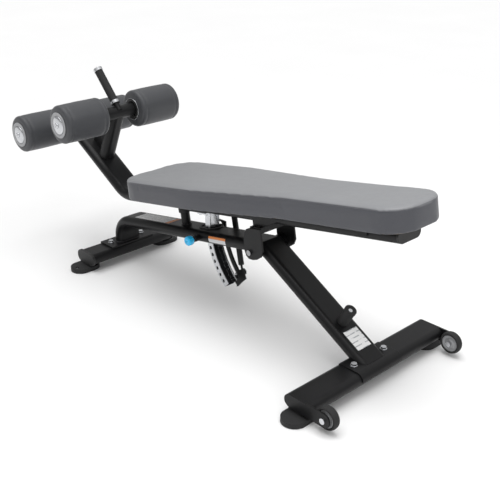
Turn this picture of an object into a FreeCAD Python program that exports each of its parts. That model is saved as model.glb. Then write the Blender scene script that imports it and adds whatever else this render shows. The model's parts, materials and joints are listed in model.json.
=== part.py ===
import FreeCAD, Part
import math
import os

import Sketcher

os.makedirs("parts", exist_ok=True)
doc = FreeCAD.newDocument("decline_bench")
Vector = FreeCAD.Vector
Rotation = FreeCAD.Rotation


# ---------------------------------------------------------------- sheet and sizes

DRIVING = {
    # where the hub axis stands, and how much the frame slopes up toward the head end
    "hub_x": 273, "hub_z": 289, "slope": 10.2,
    # flat-oval steel tube: straight part of the long side, end radius, wall
    "tube_flat": 60, "tube_r": 20, "wall": 3,
    # stabilizers, measured from the hub on the floor
    "front_x": -770, "rear_x": 429, "stab_z": 47, "front_half": 181, "rear_half": 299,
    "plate_t": 6, "cap_t": 9,
    # rubber feet
    "foot_r": 39, "foot_flat": 34, "foot_rim_z": 16, "foot_top_z": 26.8,
    "front_foot_x": -781, "front_foot_y": 188, "rear_foot_x": 428, "rear_foot_y": 297,
    # transport wheels
    "wheel_x": 522.7, "wheel_z": 45.1, "wheel_r": 35.7, "wheel_hub_r": 26.6,
    "wheel_in": 273, "wheel_out": 295, "axle_r": 5,
    # main beam and rear leg
    "beam_n": 6, "riser_x": -765, "beam_bend": 75, "flange_top": 73,
    "leg_drop": 29.55, "knee_x": 14, "knee_z": 298, "leg_length": 540,
    "bumper_at": 343, "bumper_r": 18, "bumper_h": 50,
    # stop post, slot of the selector arc and its pin
    "post_s": -402, "post_r": 16, "post_top": 70,
    "slot_s": -277, "slot_y": 12.5, "pin_s": -280, "pin_r": 5,
    "detents": 8, "detent_step": 5, "arc_in": 265, "arc_out": 290,
    "flange_near": -8, "flange_far": 33, "arc_t": 3, "arc_low": 37.6, "detent_r": 6.3,
    # guide plate and gas strut on the far side
    "guide_y": 52, "guide_r": 284, "guide_slot": 20, "guide_reach": 34,
    "strut_y": 66, "strut_s": -220, "strut_n": 95, "strut_foot_s": -215, "strut_foot_n": -145,
    "strut_length": 240, "strut_r": 10, "rod_r": 4,
    # hub
    "hub_r": 22, "hub_half": 68.5, "bush_r": 11, "spindle_r": 8, "cheek_in": 69,
    # tilting rail, its tower and the rollers
    "rail_n": 111.5, "rail_head": 557, "tower_s": -708, "tower_angle": 40.4, "tower_bend": 100,
    "roller_up_s": -720, "roller_up_n": 410, "roller_low_s": -1016, "roller_low_n": 367,
    "roller_r": 67.5, "roller_in": 69, "roller_out": 244.5, "cross_r": 24,
    # pad
    "pad_foot": -561, "pad_head": 620, "pad_wide": 152, "pad_slim": 109,
    "waist_foot": -186, "waist_head": 204,
    "pad_bottom": 137, "pad_top": 208.5, "board_t": 12, "pad_corner_foot": 85, "pad_corner_head": 78,
    "waist_corner": 300, "board_inset": 8,
}

sheet = doc.addObject("Spreadsheet::Sheet", "Dims")
for row, (alias, amount) in enumerate(DRIVING.items(), start=1):
    sheet.set(f"A{row}", alias)
    sheet.set(f"B{row}", str(amount))
    sheet.setAlias(f"B{row}", alias)
doc.recompute()


class Size:
    """A size of the sheet, or a sum of such sizes: its value and the formula that gives it."""

    def __init__(self, value, formula):
        self.value = value
        self.formula = formula

    def __float__(self):
        return float(self.value)

    def __add__(self, other):
        other = size(other)
        return Size(self.value + other.value, f"({self.formula} + {other.formula})")

    def __sub__(self, other):
        other = size(other)
        return Size(self.value - other.value, f"({self.formula} - {other.formula})")

    def __mul__(self, other):
        other = size(other)
        return Size(self.value * other.value, f"({self.formula} * {other.formula})")

    def __truediv__(self, other):
        other = size(other)
        return Size(self.value / other.value, f"({self.formula} / {other.formula})")

    def __neg__(self):
        return size(0) - self

    def __radd__(self, other):
        return size(other) + self

    def __rsub__(self, other):
        return size(other) - self

    def __rmul__(self, other):
        return size(other) * self


def size(amount):
    """Plain numbers become sizes with themselves as the formula."""
    return amount if isinstance(amount, Size) else Size(float(amount), f"({amount})")


def sine(angle):
    return Size(math.sin(math.radians(float(angle))), f"sin({size(angle).formula})")


def cosine(angle):
    return Size(math.cos(math.radians(float(angle))), f"cos({size(angle).formula})")


def tangent(angle):
    return sine(angle) / cosine(angle)


class Dims:
    """The driving sizes by name."""


d = Dims()
for alias in DRIVING:
    setattr(d, alias, Size(float(sheet.get(alias)), f"Dims.{alias}"))


# ---------------------------------------------------------------- building blocks

ALONG_Y = Rotation(Vector(1, 0, 0), -90)
ALONG_Z = Rotation()
ALONG_BEAM = Rotation(Vector(0, 1, 0), Vector(), Vector(1, 0, 0), "ZXY")
nodes = []


def bind(thing, **sizes):
    """Tie properties to the sheet."""
    for name, amount in sizes.items():
        thing.setExpression(name, size(amount).formula)


def put(thing, position, rotation=ALONG_Z):
    """Place a shape with its position tied to the sheet."""
    thing.Placement = FreeCAD.Placement(Vector(*[float(p) for p in position]), rotation)
    for letter, amount in zip("xyz", position):
        thing.setExpression(f"Placement.Base.{letter}", size(amount).formula)
    return thing


def box(low, high):
    """Block between two corners."""
    block = doc.addObject("Part::Box", "Block")
    bind(block, Length=high[0] - low[0], Width=high[1] - low[1], Height=high[2] - low[2])
    return put(block, low)


def rod(radius, start, length, rotation=ALONG_Y):
    """Round bar from a start point."""
    bar = doc.addObject("Part::Cylinder", "Rod")
    bind(bar, Radius=radius, Height=length)
    return put(bar, start, rotation)


def across(radius, s, n, y_from, y_to):
    """Round bar along Y."""
    return rod(radius, (s, y_from, n), size(y_to) - y_from)


def hexagon(circumradius, start, height, rotation=ALONG_Z):
    """Head of a hexagon bolt, or a nut."""
    head = doc.addObject("Part::Prism", "Hexagon")
    head.Polygon = 6
    bind(head, Circumradius=circumradius, Height=height)
    return put(head, start, rotation)


def fuse(*shapes):
    whole = doc.addObject("Part::MultiFuse", "Union")
    whole.Shapes = list(shapes)
    whole.Refine = True
    return whole


def group(*shapes):
    """Separate equal pieces kept under one name."""
    several = doc.addObject("Part::Compound", "Group")
    several.Links = list(shapes)
    return several


def cut(shape, *tools):
    """Take one or more shapes away."""
    rest = doc.addObject("Part::Cut", "Difference")
    rest.Base = shape
    rest.Tool = tools[0] if len(tools) == 1 else fuse(*tools)
    return rest


def common(shape, other):
    both = doc.addObject("Part::Common", "Overlap")
    both.Base = shape
    both.Tool = other
    return both


def oval(flat, radius, start, length, rotation=ALONG_Z):
    """Bar of flat-oval section; its long side is its own X, its length its own Z."""
    core = box((-size(flat) / 2, -size(radius), size(0)), (size(flat) / 2, size(radius), size(length)))
    ends = [rod(radius, (side * size(flat) / 2, 0, 0), length, ALONG_Z) for side in (size(-1), size(1))]
    return put(fuse(core, *ends), start, rotation)


def oval_tube(start, length, rotation):
    """Stock flat-oval tube of the frame."""
    outer = oval(d.tube_flat, d.tube_r, start, length, rotation)
    inner = oval(d.tube_flat, d.tube_r - d.wall, start, length, rotation)
    return cut(outer, inner)


def sector(inner, outer, angle_from, sweep, y_top, thickness):
    """Part of a ring round the hub axis; angles run from the head side (+s) up toward +n."""
    start = math.radians(float(angle_from))
    spoke = Vector(math.cos(start), 0, math.sin(start))
    turned = Rotation(spoke, Vector(), Vector(0, -1, 0), "ZXY")
    pieces = []
    for radius in (outer, inner):
        piece = rod(radius, (0, y_top, 0), thickness, turned)
        bind(piece, Angle=sweep)
        pieces.append(piece)
    return cut(pieces[0], pieces[1])


def mirrored(make):
    """The same piece on the near side (-1) and the far side (+1)."""
    return [make(size(side)) for side in (-1, 1)]


def plane_of(body, role):
    return [feature for feature in body.Origin.OriginFeatures if feature.Role == role][0]


def sketch_on(body, role, offset=0):
    """Empty sketch on an origin plane of its own body."""
    sketch = body.newObject("Sketcher::SketchObject", "Outline")
    sketch.AttachmentSupport = [(plane_of(body, role), "")]
    sketch.MapMode = "FlatFace"
    sketch.setExpression("AttachmentOffset.Base.z", size(offset).formula)
    return sketch


def tie(sketch, kind, places, amount):
    """Dimension of a sketch tied to the sheet."""
    index = sketch.addConstraint(Sketcher.Constraint(kind, *places, float(amount)))
    sketch.setExpression(f"Constraints[{index}]", size(amount).formula)


def pin_point(sketch, curve, end, point):
    """Fix the end of a curve by its two coordinates."""
    tie(sketch, "DistanceX", (-1, 1, curve, end), point[0])
    tie(sketch, "DistanceY", (-1, 1, curve, end), point[1])


def polygon(sketch, points):
    """Closed outline through the points."""
    corners = [Vector(float(u), float(v), 0) for u, v in points]
    count = len(corners)
    for index, corner in enumerate(corners):
        sketch.addGeometry(Part.LineSegment(corner, corners[(index + 1) % count]))
    for index in range(count):
        sketch.addConstraint(Sketcher.Constraint("Coincident", index, 2, (index + 1) % count, 1))
    for index, point in enumerate(points):
        pin_point(sketch, index, 1, point)


def sheet_metal(points, y_low, thickness):
    """Flat plate standing along the bench: outline in the s-n plane, thickness along Y."""
    body = doc.addObject("PartDesign::Body", "Plate")
    sketch = sketch_on(body, "XZ_Plane", -size(y_low))
    polygon(sketch, points)
    pad = body.newObject("PartDesign::Pad", "Thickness")
    pad.Profile = sketch
    pad.Reversed = True
    bind(pad, Length=thickness)
    return body


def oval_profile(sketch, centre, flat, radius):
    """Flat oval with its long side along the sketch's Y."""
    u, v = float(centre[0]), float(centre[1])
    half = float(flat) / 2
    for middle, start in ((v + half, 0), (v - half, math.pi)):
        circle = Part.Circle(Vector(u, middle, 0), Vector(0, 0, 1), float(radius))
        sketch.addGeometry(Part.ArcOfCircle(circle, start, start + math.pi))
    arcs = sketch.Geometry
    sketch.addGeometry(Part.LineSegment(arcs[0].EndPoint, arcs[1].StartPoint))
    sketch.addGeometry(Part.LineSegment(arcs[1].EndPoint, arcs[0].StartPoint))
    for line, arc_from, arc_to in ((2, 0, 1), (3, 1, 0)):
        sketch.addConstraint(Sketcher.Constraint("Tangent", arc_from, 2, line, 1))
        sketch.addConstraint(Sketcher.Constraint("Tangent", line, 2, arc_to, 1))
    tie(sketch, "Radius", (0,), radius)
    pin_point(sketch, 0, 3, (centre[0], centre[1] + size(flat) / 2))
    pin_point(sketch, 1, 3, (centre[0], centre[1] - size(flat) / 2))


def bend_block(bend, turn, flat, radius):
    """Bend of a flat-oval bar: turns about its own Z, starting on its own X."""
    body = doc.addObject("PartDesign::Body", "Bend")
    sketch = sketch_on(body, "XZ_Plane")
    oval_profile(sketch, (bend, size(0)), flat, radius)
    turned = body.newObject("PartDesign::Revolution", "Turn")
    turned.Profile = sketch
    turned.ReferenceAxis = (sketch, ["V_Axis"])
    bind(turned, Angle=turn)
    return body


def vector(pair):
    return Vector(float(pair[0]), 0, float(pair[1]))


def step(point, direction, amount):
    """Point in the plane along the bench, moved along a direction."""
    return point[0] + direction[0] * amount, point[1] + direction[1] * amount


def bent_bar(knee, inward, first_length, outward, last_length, bend, turn, radius):
    """Straight, bend and straight; both lengths run from the knee of the centreline."""
    flat = d.tube_flat
    reach = bend * tangent(turn / 2)
    entry, leave = step(knee, inward, reach), step(knee, outward, reach)
    toward = tuple((b + cosine(turn) * a) / sine(turn) for a, b in zip(inward, outward))
    middle = step(entry, toward, bend)
    first = oval(flat, radius, (entry[0], size(0), entry[1]), first_length - reach,
                 Rotation(Vector(0, 1, 0), Vector(), vector(inward), "ZXY"))
    last = oval(flat, radius, (leave[0], size(0), leave[1]), last_length - reach,
                Rotation(Vector(0, 1, 0), Vector(), vector(outward), "ZXY"))
    spoke, travel = -vector(toward), -vector(inward)
    frame = Rotation(spoke, travel, spoke.cross(travel), "ZXY")
    corner = put(group(bend_block(bend, turn, flat, radius)), (middle[0], 0, middle[1]), frame)
    return fuse(first, corner, last)


def keep(shape, label, position, angle):
    """Name a finished piece and stand it in the common frame."""
    shape.Label = label
    shape.Placement = FreeCAD.Placement(Vector(), Rotation(Vector(0, -1, 0), float(angle)))
    shape.setExpression("Placement.Base.x", d.hub_x.formula)
    shape.setExpression("Placement.Base.z", size(position).formula)
    if float(angle):
        shape.setExpression("Placement.Rotation.Angle", size(angle).formula)
    nodes.append(shape)


def floor_piece(label, shape):
    """Piece drawn level: x from the hub, z from the floor."""
    keep(group(shape), label, 0, 0)


def sloped_piece(label, shape):
    """Piece drawn in the sloping frame: s along the beam, n square to it, origin on the hub axis."""
    keep(group(shape), label, d.hub_z, d.slope)


# ---------------------------------------------------------------- base: stabilizers and feet

def stabilizer(label, x, half, bolt_x, bolt_y):
    tube = oval_tube((x, -half, d.stab_z), 2 * half, ALONG_Y)
    holes = [rod(d.axle_r + 0.1, (bolt_x, side * bolt_y, d.stab_z), d.tube_r + 1, ALONG_Z)
             for side in (size(-1), size(1))]
    floor_piece(label, cut(tube, *holes))


def front_caps():
    def cap(side):
        outer = oval(d.tube_flat - 2, d.tube_r + 4, (d.front_x, 0, d.stab_z), d.cap_t, ALONG_Y)
        plug = oval(d.tube_flat, d.tube_r - d.wall - 0.1, (d.front_x, -22, d.stab_z), 22, ALONG_Y)
        whole = fuse(outer, plug)
        turn = Rotation(Vector(0, 0, 1), 0 if float(side) > 0 else 180)
        shift = d.front_x - side * d.front_x
        return put(group(whole), (shift, side * d.front_half, 0), turn)
    floor_piece("front_end_caps", group(*mirrored(cap)))


def feet(label, x, y, limit, screw_y):
    """Oval rubber feet: full height below the tube, a low rim outside it."""
    def foot(side):
        along = Rotation(Vector(0, 0, 1), 90)
        block = oval(d.foot_flat, d.foot_r, (x, side * y, 0), d.foot_top_z, along)
        edges = sorted((side * limit, side * (limit + 150)), key=float)
        above = box((x - 100, edges[0], d.foot_rim_z), (x + 100, edges[1], d.foot_top_z + 5))
        tools = [above]
        if screw_y is not None:
            tools.append(rod(7.5, (x + 4, side * screw_y, d.foot_rim_z - 7), 20, ALONG_Z))
        return cut(block, *tools)
    floor_piece(label, group(*mirrored(foot)))


def front_foot_screws(x, screw_y):
    heads = mirrored(lambda side: rod(6.5, (x + 4, side * screw_y, d.foot_rim_z - 7), 4, ALONG_Z))
    floor_piece("foot_screws", group(*heads))


def top_bolts(x, y, seat_z):
    """Two hexagon bolts with washers, screwed down into a stabilizer."""
    def bolt(side):
        washer = rod(11, (x, side * y, seat_z), 1.6, ALONG_Z)
        head = hexagon(9.5, (x, side * y, seat_z + 1.6), 6.5)
        shank = rod(d.axle_r, (x, side * y, seat_z - 22), 22, ALONG_Z)
        return fuse(washer, head, shank)
    return mirrored(bolt)


def flange_plate(bolt_x, bolt_y):
    seat = d.stab_z + d.tube_r
    plate = box((d.front_x - 38, size(-95), seat), (d.front_x + 40, size(95), d.flange_top))
    holes = [rod(d.axle_r + 0.1, (bolt_x, side * bolt_y, seat - 1), 10, ALONG_Z)
             for side in (size(-1), size(1))]
    floor_piece("beam_flange_plate", cut(plate, *holes))


def saddle(bolt_x, bolt_y):
    """Saddle plate bent over the rear tube."""
    half = 90
    outer = oval(d.tube_flat, d.tube_r + 4, (d.rear_x, -half, d.stab_z), 2 * half, ALONG_Y)
    tube = oval(d.tube_flat, d.tube_r + 0.02, (d.rear_x, -half, d.stab_z), 2 * half, ALONG_Y)
    region = box((d.rear_x - 40, size(-half), d.stab_z), (d.rear_x + 60, size(half), d.stab_z + 30))
    holes = [rod(d.axle_r + 0.1, (bolt_x, side * bolt_y, d.stab_z), 40, ALONG_Z)
             for side in (size(-1), size(1))]
    floor_piece("leg_saddle", cut(common(outer, region), tube, *holes))


def rear_end_plates():
    def plate(side):
        y = sorted((side * d.rear_half, side * (d.rear_half + d.plate_t)), key=float)[0]
        end = oval(d.tube_flat, d.tube_r, (d.rear_x, y, d.stab_z), d.plate_t, ALONG_Y)
        arm = box((d.rear_x, y, d.wheel_z - 21), (d.wheel_x, y + d.plate_t, d.wheel_z + 21.9))
        lobe = rod(21.9, (d.wheel_x, y, d.wheel_z), d.plate_t)
        hole = rod(d.axle_r + 0.1, (d.wheel_x, y - 1, d.wheel_z), d.plate_t + 2)
        return cut(fuse(end, arm, lobe), hole)
    floor_piece("rear_end_plates", group(*mirrored(plate)))


def wheel_bolts():
    def bolt(side):
        outer = side * (d.rear_half + d.plate_t)
        inner = side * (d.wheel_in - 8)
        shank_from, shank_to = sorted((outer, inner), key=float)
        shank = rod(d.axle_r, (d.wheel_x, shank_from, d.wheel_z), shank_to - shank_from)
        head_y = sorted((outer, outer + side * 5), key=float)[0]
        head = rod(9, (d.wheel_x, head_y, d.wheel_z), 5)
        nut_y = sorted((inner, inner + side * 6), key=float)[0]
        nut = hexagon(9, (d.wheel_x, nut_y, d.wheel_z), 6, ALONG_Y)
        return fuse(shank, head, nut)
    floor_piece("wheel_axle_bolts", group(*mirrored(bolt)))


def wheel(name, side):
    low, high = sorted((side * d.wheel_in, side * d.wheel_out), key=float)
    width = high - low
    tyre = rod(d.wheel_r, (d.wheel_x, low, d.wheel_z), width)
    seat = rod(d.wheel_hub_r, (d.wheel_x, low, d.wheel_z), width)
    floor_piece(f"wheel_tyre_{name}", cut(tyre, seat))
    disc = rod(d.wheel_hub_r, (d.wheel_x, low + 1.5, d.wheel_z), width - 3)
    boss = rod(12, (d.wheel_x, low, d.wheel_z), width)
    dish = cut(rod(22, (d.wheel_x, low, d.wheel_z), width), rod(14, (d.wheel_x, low, d.wheel_z), width))
    web = rod(22, (d.wheel_x, low + 6, d.wheel_z), width - 12)
    bore = rod(d.axle_r + 0.05, (d.wheel_x, low, d.wheel_z), width)
    floor_piece(f"wheel_hub_{name}", cut(fuse(cut(disc, dish), boss, web), bore))


# ---------------------------------------------------------------- base: beam, leg and hub

def beam_outside():
    """Outer skin of the straight beam, used to shape what is welded on it."""
    return oval(d.tube_flat, d.tube_r, (-660, 0, d.beam_n), 660, ALONG_BEAM)


def beam_height(x):
    """Height of the beam's centreline above the floor at a distance from the hub."""
    return d.hub_z + d.beam_n / cosine(d.slope) + tangent(d.slope) * x


def past_the_knee(keep_beam):
    """Block that trims the beam and the leg at the plane where they meet."""
    turn = (float(d.slope) - float(d.leg_drop)) / 2
    block = box((size(0) if keep_beam else size(-300), size(-80), size(-200)),
                (size(300) if keep_beam else size(0), size(80), size(200)))
    return put(group(block), (d.knee_x, 0, d.knee_z), Rotation(Vector(0, -1, 0), turn))


def hub_cylinder(radius):
    return across(radius, 0, d.hub_z, -d.hub_half, d.hub_half)


def sloped_tool(shape):
    """Carry a tool drawn in the sloping frame into the level one."""
    tool = group(shape)
    turn = Rotation(Vector(0, -1, 0), float(d.slope))
    tool.Placement = FreeCAD.Placement(Vector(0, 0, float(d.hub_z)), turn)
    tool.setExpression("Placement.Base.z", d.hub_z.formula)
    tool.setExpression("Placement.Rotation.Angle", d.slope.formula)
    return tool


def guide_notch():
    """Opening in the far side of the beam through which the guide pin passes."""
    half = d.guide_slot / 2 + 2
    return box((-d.guide_r - half, d.flange_far - 3, size(-40)), (half - d.guide_r, d.guide_y, size(60)))


def main_beam():
    knee = (d.riser_x, beam_height(d.riser_x))
    down, up = (size(0), size(-1)), (cosine(d.slope), sine(d.slope))
    lengths = (knee[1] - d.flange_top, (d.knee_x + 40 - d.riser_x) / cosine(d.slope))
    outer, inner = [bent_bar(knee, down, lengths[0], up, lengths[1], d.beam_bend, 90 - d.slope, radius)
                    for radius in (d.tube_r, d.tube_r - d.wall)]
    tube = cut(outer, inner)
    slot = box((d.arc_slot_from, d.flange_near - 3, size(-40)), (d.arc_slot_to, d.flange_far + 3, size(60)))
    pin_hole = across(d.pin_r + 0.15, d.pin_s, d.beam_n, -70, -30)
    tools = [sloped_tool(slot), sloped_tool(guide_notch()), sloped_tool(pin_hole), past_the_knee(True),
             hub_cylinder(d.hub_r)]
    floor_piece("main_beam", cut(tube, *tools))


def leg_direction():
    drop = math.radians(float(d.leg_drop))
    return Vector(math.cos(drop), 0, -math.sin(drop))


def leg_point(along, above):
    """Point on the leg: distance from the knee along the centreline, and square above it."""
    x = d.knee_x + cosine(d.leg_drop) * along + sine(d.leg_drop) * above
    z = d.knee_z - sine(d.leg_drop) * along + cosine(d.leg_drop) * above
    return x, z


def rear_leg():
    along = Rotation(Vector(0, 1, 0), Vector(), leg_direction(), "ZXY")
    x, z = leg_point(-40, 0)
    tube = oval_tube((x, 0, z), d.leg_length, along)
    shoe = oval(d.tube_flat, d.tube_r + 4.02, (d.rear_x, -80, d.stab_z), 160, ALONG_Y)
    below = box((size(330), size(-80), size(-60)), (size(620), size(80), d.stab_z))
    floor_piece("rear_leg", cut(tube, past_the_knee(False), hub_cylinder(d.hub_r), shoe, below))


def bumper():
    upward = Rotation(Vector(0, 1, 0), float(d.leg_drop))

    def turned(radius, above, height):
        x, z = leg_point(d.bumper_at, above)
        return rod(radius, (x, 0, z), height, upward)
    seat = d.tube_r + d.bumper_h
    body = turned(d.bumper_r, d.tube_r, d.bumper_h)
    rim = turned(d.bumper_r + 1, seat, 8)
    recess = turned(8, seat + 4, 4)
    floor_piece("bumper", cut(fuse(body, rim), recess, turned(4, d.tube_r, d.bumper_h + 8)))
    floor_piece("bumper_screw", fuse(turned(6.5, seat + 4, 2.5), turned(3.9, seat - 26, 30)))


def hub():
    tube = cut(across(d.hub_r, 0, 0, -d.hub_half, d.hub_half),
               across(d.bush_r, 0, 0, -d.hub_half, d.hub_half))
    sloped_piece("hub_tube", tube)

    def bush(side):
        low, high = sorted((side * (d.hub_half - 26), side * d.hub_half), key=float)
        return cut(across(d.bush_r, 0, 0, low, high), across(d.spindle_r + 0.05, 0, 0, low, high))
    sloped_piece("hub_bushes", group(*mirrored(bush)))


def stop_post():
    seat = d.beam_n + d.tube_r
    sloped_piece("stop_post", rod(d.post_r, (d.post_s, 0, seat), d.post_top - seat, ALONG_Z))
    cap = rod(d.post_r + 5, (d.post_s, 0, d.post_top), d.rail_n - d.tube_r - 0.2 - d.post_top, ALONG_Z)
    sloped_piece("stop_post_cap", cap)


def slot_grommet():
    lip_low, lip_high = 12, d.beam_n + d.tube_r + 3
    outer = oval(28, 33, (d.slot_s - 4, d.slot_y, lip_low), lip_high - lip_low)
    inner = oval(28, 25, (d.slot_s - 4, d.slot_y, 5), 40)
    sloped_piece("slot_grommet", cut(outer, inner, guide_notch(), beam_outside()))


def pin_housing():
    barrel = across(11, d.pin_s, d.beam_n, -70, -42)
    chamber = across(8.5, d.pin_s, d.beam_n, -67, -42)
    bore = across(d.pin_r + 0.06, d.pin_s, d.beam_n, -71, -42)
    sloped_piece("pin_housing", cut(barrel, chamber, bore, beam_outside()))


def spring():
    """Return spring of the pin, fully squeezed: its flat turns lie one on another."""
    turns, pitch, wire = 3, 1.45, 1.4
    coils = []
    for turn in range(turns):
        low = -66.95 + pitch * turn
        coils.append(cut(across(7.7, d.pin_s, d.beam_n, low, low + wire),
                         across(6.3, d.pin_s, d.beam_n, low, low + wire)))
    sloped_piece("pin_spring", group(*coils))


def guide_plate():
    """Plate on the far side that guides the foot of the arc and carries the strut's foot."""
    top = d.guide_y + d.plate_t
    up, down = 8, d.guide_reach + 6
    ring = sector(size(257), size(305), 180 - up, up + down, top, d.plate_t)
    foot = sheet_metal([(size(-240), size(-198)), (size(-188), size(-162)), (size(-200), size(-128)),
                        (size(-214), size(-145)), (size(-236), size(-185))], d.guide_y, d.plate_t)
    half = d.guide_slot / 2
    slot = sector(d.guide_r - half, d.guide_r + half, 180 - 5, 5 + d.guide_reach, top + 1, d.plate_t + 2)

    def slot_end(angle):
        s = -d.guide_r * cosine(angle)
        n = d.guide_r * sine(angle)
        return across(half, s, n, d.guide_y - 1, top + 1)
    hanger = box((size(-303), d.guide_y - 12, size(-6)), (size(-258), d.guide_y, size(11)))
    weld_block = cut(hanger, beam_outside(), slot_clearance())
    plate = cut(fuse(ring, foot), slot, slot_end(size(5)), slot_end(-d.guide_reach))
    sloped_piece("arc_guide_plate", fuse(plate, weld_block))


def slot_clearance():
    """Room for the guide pin between the beam and the guide plate."""
    half = d.guide_slot / 2
    return sector(d.guide_r - half, d.guide_r + half, 170, 60, d.guide_y + 1, 40)


def strut_lower_pin():
    pin = across(d.rod_r, d.strut_foot_s, d.strut_foot_n, d.guide_y + d.plate_t, d.strut_y + 7)
    head = across(d.rod_r + 8, d.strut_foot_s, d.strut_foot_n, d.strut_y + 7, d.strut_y + 9)
    sloped_piece("strut_lower_pin", fuse(pin, head))


def labels():
    top = d.beam_n + d.tube_r
    beam_label = sloped_tool(box((size(-676), size(-28), top), (size(-470), size(28), top + 0.3)))
    along = Rotation(Vector(0, 1, 0), Vector(), leg_direction(), "ZXY")
    x, z = leg_point(375, d.tube_r + 0.15)
    sheet_label = box((size(-29), size(-0.15), size(0)), (size(29), size(0.15), size(70)))
    floor_piece("labels", group(beam_label, put(group(sheet_label), (x, 0, z), along)))


# ---------------------------------------------------------------- the pull pin

def pop_pin():
    """Pin drawn back: its tip stands just clear of the selector arc."""
    tip = d.flange_near - 0.4
    pin = across(d.pin_r, d.pin_s, d.beam_n, -86, tip)
    collar = across(8.2, d.pin_s, d.beam_n, -58.5, -56.5)
    sloped_piece("pin_shaft", fuse(pin, collar))
    grip = across(16.5, d.pin_s, d.beam_n, -103, -80)
    neck = across(10, d.pin_s, d.beam_n, -80, -77)
    sloped_piece("pin_knob", cut(fuse(grip, neck), across(d.pin_r, d.pin_s, d.beam_n, -86, -70)))


# ---------------------------------------------------------------- tilting top: frame

tower_rise = tangent(d.tower_angle)


def tower_point(s):
    """Centreline height of the tower at s."""
    return d.rail_n + tower_rise * (d.tower_s - s)


def top_rail():
    knee = (d.tower_s, d.rail_n)
    ahead, back = (size(1), size(0)), (-cosine(d.tower_angle), sine(d.tower_angle))
    lengths = (d.rail_head - d.tower_s, (d.tower_s - d.roller_low_s) / cosine(d.tower_angle))
    outer, inner = [bent_bar(knee, ahead, lengths[0], back, lengths[1], d.tower_bend, d.tower_angle, radius)
                    for radius in (d.tube_r, d.tube_r - d.wall)]
    tube = cut(outer, inner)
    low_tube = across(d.cross_r, d.roller_low_s, d.roller_low_n, -120, 120)
    behind = box((d.roller_low_s - 120, size(-80), d.roller_low_n - 150),
                 (d.roller_low_s, size(80), d.roller_low_n + 150))
    sloped_piece("top_rail", cut(tube, low_tube, behind))
    face = oval(d.tube_flat, d.tube_r, (d.rail_head, 0, d.rail_n), 6, ALONG_BEAM)
    plug = oval(d.tube_flat, d.tube_r - d.wall - 0.1, (d.rail_head - 20, 0, d.rail_n), 20, ALONG_BEAM)
    sloped_piece("rail_end_cap", fuse(face, plug))


def pivot_frame():
    """Cheeks that hang the rail on the hub, with their cross pieces."""
    cheek_top, bridge_low, bridge_top = size(80), size(66), size(84)
    bridge_foot, bridge_head = size(8), size(58)
    outline = [(size(-24), size(2)), (size(-22), size(40)), (size(-15), size(64)), (size(-4), size(76)),
               (bridge_foot, cheek_top), (bridge_head, cheek_top), (bridge_head, size(8)),
               (size(47), size(-10)), (size(28), size(-20)), (size(9), size(-23.5)), (size(-9), size(-22)),
               (size(-20), size(-13))]

    def cheek(side):
        low = sorted((side * d.cheek_in, side * (d.cheek_in + d.plate_t)), key=float)[0]
        plate = sheet_metal(outline, low, d.plate_t)
        return cut(plate, across(d.spindle_r + 0.02, 0, 0, low - 1, low + d.plate_t + 1))
    bridge = box((bridge_foot, -d.cheek_in, bridge_low), (bridge_head, d.cheek_in, bridge_top))

    def gusset(side):
        edge = d.tube_flat / 2 + d.tube_r
        low = sorted((side * edge, side * (edge + 5)), key=float)[0]
        return sheet_metal([(bridge_foot, bridge_top), (bridge_head, bridge_top), (size(140), d.rail_n + 4),
                            (bridge_foot, d.rail_n + 4)], low, 5)
    sloped_piece("pivot_frame", fuse(bridge, *mirrored(cheek), *mirrored(gusset)))


def hub_spindle():
    outer = d.cheek_in + d.plate_t
    sloped_piece("hub_spindle", across(d.spindle_r, 0, 0, -outer, outer))

    def cap(side):
        low = sorted((side * outer, side * (outer + 7)), key=float)[0]
        return rod(9, (0, low, 0), 7)
    sloped_piece("hub_end_bolts", group(*mirrored(cap)))


def selector_arc():
    """Channel-shaped arc with the detent holes in its near flange."""
    seat = d.rail_n - d.tube_r - 11.5
    above = 20
    sweep = d.arc_low + above
    channel_w = d.flange_far - d.flange_near
    start = size(180 - above)
    near = sector(d.arc_in, d.arc_out, start, sweep, d.flange_near + d.arc_t, d.arc_t)
    far = sector(d.arc_in, d.arc_out, start, sweep, d.flange_far, d.arc_t)
    web = sector(d.arc_out - d.arc_t, d.arc_out, start, sweep, d.flange_far, channel_w)
    trim = box((size(-320), size(-60), seat), (size(-200), size(80), seat + 60))
    flange = box((size(-300), size(-26), seat), (size(-255), size(51), seat + 6))
    back = box((size(-268), d.flange_near, size(30)), (size(-264), d.flange_far, seat))
    hole_r = (d.pin_s * d.pin_s + d.beam_n * d.beam_n).value ** 0.5
    first = math.degrees(math.atan2(float(d.beam_n), -float(d.pin_s)))
    holes = []
    for index in range(int(float(d.detents))):
        angle = d.detent_step * index - first
        holes.append(across(d.detent_r, -hole_r * cosine(angle), -hole_r * sine(angle),
                            d.flange_near - 2, d.flange_near + d.arc_t + 2))
    sloped_piece("selector_arc", cut(fuse(cut(fuse(near, far, web), trim), back, flange), *holes))
    block = box((size(-337), size(-30), seat + 6), (size(-251), size(55), seat + 11.5))
    sloped_piece("arc_spacer_block", block)
    screws = [rod(5, (s, y, seat - 4), 4, ALONG_Z) for s in (-292, -263) for y in (-18, 43)]
    sloped_piece("arc_screws", group(*screws))


def guide_pin():
    angle = d.guide_reach
    s, n = -d.guide_r * cosine(angle), -d.guide_r * sine(angle)
    shank = across(d.guide_slot / 2 - 2, s, n, d.flange_far, d.guide_y + d.plate_t + 1.5)
    head = across(d.guide_slot / 2 + 3, s, n, d.guide_y + d.plate_t + 1.5, d.guide_y + d.plate_t + 5)
    sloped_piece("guide_pin", fuse(shank, head))


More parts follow.
